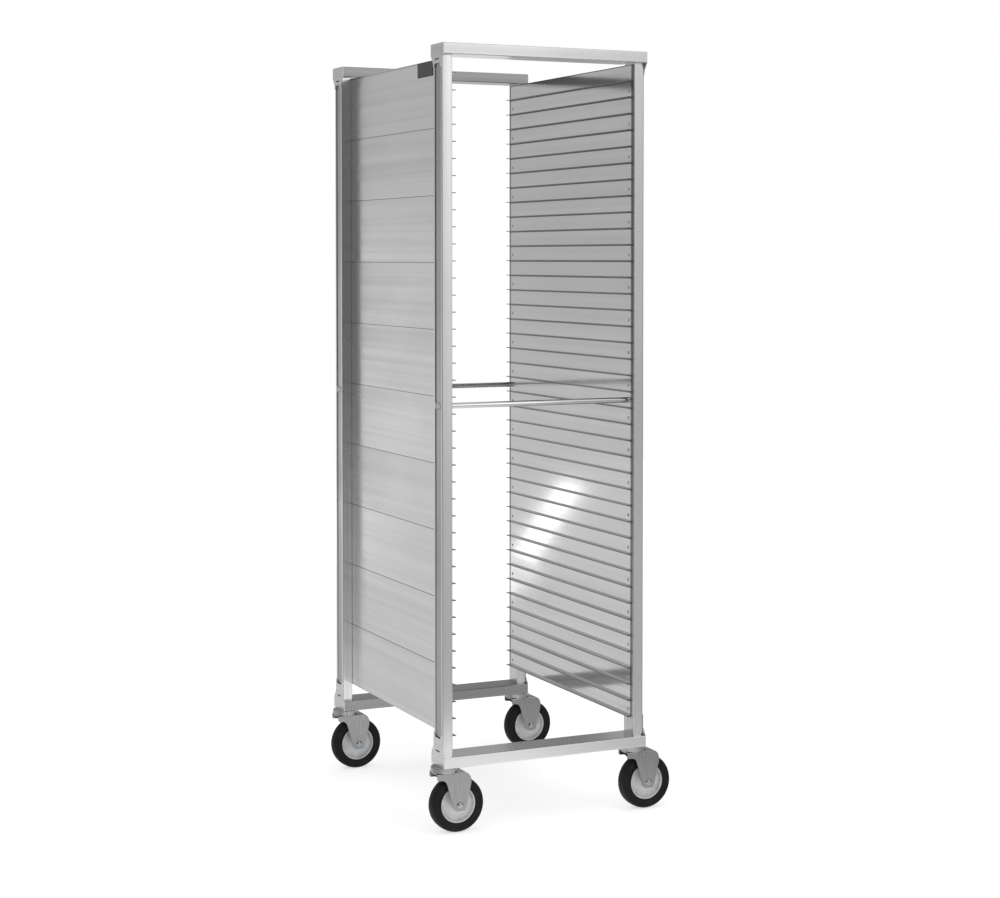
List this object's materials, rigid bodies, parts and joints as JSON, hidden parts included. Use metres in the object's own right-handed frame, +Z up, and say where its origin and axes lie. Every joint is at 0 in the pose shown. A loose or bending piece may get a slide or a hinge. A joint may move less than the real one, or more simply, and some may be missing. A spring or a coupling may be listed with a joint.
{
  "type": "sheet pan rack",
  "caption": "Tall open-ended aluminium sheet pan rack with ledged side panels, tie bars and four swivel casters.",
  "frame": {"origin": "on the floor under the middle of the outer box, with every wheel trailing towards +X, so the frame's own middle lies at x = -29.5 mm", "axes": "+X to the right seen from the front, +Y from the open front to the open rear, +Z up"},
  "size_m": [0.6108, 0.7094, 1.7734],
  "materials": {
    "satin_aluminium": "lightly brushed mill finish",
    "rivet_aluminium": "satin",
    "zinc_plated_steel": "bright zinc plate",
    "bearing_steel": "polished",
    "wheel_grey": "moulded light grey",
    "tyre_black": "matt rubber",
    "nameplate_grey": "blank dark plate"
  },
  "bodies": {
    "frame": {"post_front_left": "satin_aluminium", "post_front_right": "satin_aluminium", "post_rear_left": "satin_aluminium", "post_rear_right": "satin_aluminium", "rail_bottom_front": "satin_aluminium", "rail_bottom_rear": "satin_aluminium", "rail_top_front": "satin_aluminium", "rail_top_rear": "satin_aluminium", "tie_bar_front": "satin_aluminium", "tie_bar_rear": "satin_aluminium", "side_panel_left_01": "satin_aluminium", "side_panel_left_02": "satin_aluminium", "side_panel_left_03": "satin_aluminium", "side_panel_left_04": "satin_aluminium", "side_panel_left_05": "satin_aluminium", "side_panel_left_06": "satin_aluminium", "side_panel_left_07": "satin_aluminium", "side_panel_left_08": "satin_aluminium", "side_panel_left_09": "satin_aluminium", "side_panel_left_10": "satin_aluminium", "side_panel_right_01": "satin_aluminium", "side_panel_right_02": "satin_aluminium", "side_panel_right_03": "satin_aluminium", "side_panel_right_04": "satin_aluminium", "side_panel_right_05": "satin_aluminium", "side_panel_right_06": "satin_aluminium", "side_panel_right_07": "satin_aluminium", "side_panel_right_08": "satin_aluminium", "side_panel_right_09": "satin_aluminium", "side_panel_right_10": "satin_aluminium", "corner_plates": "satin_aluminium", "tie_bar_plates": "satin_aluminium", "rivets": "rivet_aluminium", "nameplate": "nameplate_grey", "stem_nuts": "zinc_plated_steel", "swivel_balls": "bearing_steel", "caster_head_front_left": "zinc_plated_steel", "caster_head_front_right": "zinc_plated_steel", "caster_head_rear_left": "zinc_plated_steel", "caster_head_rear_right": "zinc_plated_steel"},
    "swivel_front_left": {"caster_fork_front_left": "zinc_plated_steel", "caster_axle_front_left": "zinc_plated_steel"},
    "wheel_front_left": {"wheel_bushing_front_left": "bearing_steel", "wheel_hub_front_left": "wheel_grey", "tyre_front_left": "tyre_black"},
    "swivel_front_right": {"caster_fork_front_right": "zinc_plated_steel", "caster_axle_front_right": "zinc_plated_steel"},
    "wheel_front_right": {"wheel_bushing_front_right": "bearing_steel", "wheel_hub_front_right": "wheel_grey", "tyre_front_right": "tyre_black"},
    "swivel_rear_left": {"caster_fork_rear_left": "zinc_plated_steel", "caster_axle_rear_left": "zinc_plated_steel"},
    "wheel_rear_left": {"wheel_bushing_rear_left": "bearing_steel", "wheel_hub_rear_left": "wheel_grey", "tyre_rear_left": "tyre_black"},
    "swivel_rear_right": {"caster_fork_rear_right": "zinc_plated_steel", "caster_axle_rear_right": "zinc_plated_steel"},
    "wheel_rear_right": {"wheel_bushing_rear_right": "bearing_steel", "wheel_hub_rear_right": "wheel_grey", "tyre_rear_right": "tyre_black"}
  },
  "joints": [
    {"name": "caster_swivel_front_left", "type": "hinge", "parent": "frame", "child": "swivel_front_left", "pos_m": [-0.27137, -0.31865, 0.1424], "axis": [0, 0, 1], "continuous": true},
    {"name": "wheel_spin_front_left", "type": "hinge", "parent": "swivel_front_left", "child": "wheel_front_left", "pos_m": [-0.24188, -0.31865, 0.0635], "axis": [0, 1, 0], "continuous": true},
    {"name": "caster_swivel_front_right", "type": "hinge", "parent": "frame", "child": "swivel_front_right", "pos_m": [0.21238, -0.31865, 0.1424], "axis": [0, 0, 1], "continuous": true},
    {"name": "wheel_spin_front_right", "type": "hinge", "parent": "swivel_front_right", "child": "wheel_front_right", "pos_m": [0.24188, -0.31865, 0.0635], "axis": [0, 1, 0], "continuous": true},
    {"name": "caster_swivel_rear_left", "type": "hinge", "parent": "frame", "child": "swivel_rear_left", "pos_m": [-0.27137, 0.31865, 0.1424], "axis": [0, 0, 1], "continuous": true},
    {"name": "wheel_spin_rear_left", "type": "hinge", "parent": "swivel_rear_left", "child": "wheel_rear_left", "pos_m": [-0.24188, 0.31865, 0.0635], "axis": [0, 1, 0], "continuous": true},
    {"name": "caster_swivel_rear_right", "type": "hinge", "parent": "frame", "child": "swivel_rear_right", "pos_m": [0.21238, 0.31865, 0.1424], "axis": [0, 0, 1], "continuous": true},
    {"name": "wheel_spin_rear_right", "type": "hinge", "parent": "swivel_rear_right", "child": "wheel_rear_right", "pos_m": [0.24188, 0.31865, 0.0635], "axis": [0, 1, 0], "continuous": true}
  ]
}
